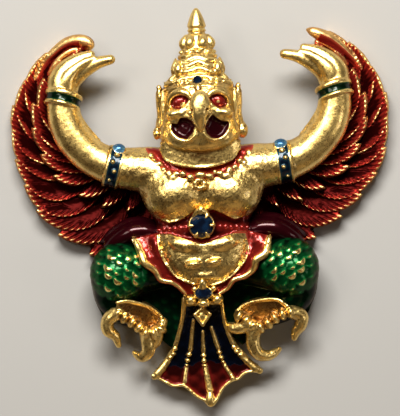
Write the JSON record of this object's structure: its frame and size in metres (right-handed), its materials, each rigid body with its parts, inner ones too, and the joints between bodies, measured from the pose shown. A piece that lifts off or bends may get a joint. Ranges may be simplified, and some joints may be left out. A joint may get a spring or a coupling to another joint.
{
  "type": "garuda figure",
  "caption": "Flat-backed gilt garuda figure with raised arms, spread wings, tall crown, flared tail and coloured enamel in its hollows.",
  "frame": {"origin": "centre of the flat back, on the plane that the figure lies on", "axes": "+Y from tail tip to crown tip, +X to the viewer's right, +Z out of the back towards the viewer"},
  "size_m": [0.0398, 0.042, 0.011],
  "materials": {
    "gilt_enamel": "gilt casting with transparent red and green, dark blue and maroon enamel in its hollows",
    "dark_stone": "faceted, polished, dark blue and almost opaque"
  },
  "bodies": {
    "root": {"garuda_figure": "gilt_enamel", "forehead_stone": "dark_stone", "chest_stone": "dark_stone", "buckle_stone": "dark_stone"}
  },
  "joints": []
}
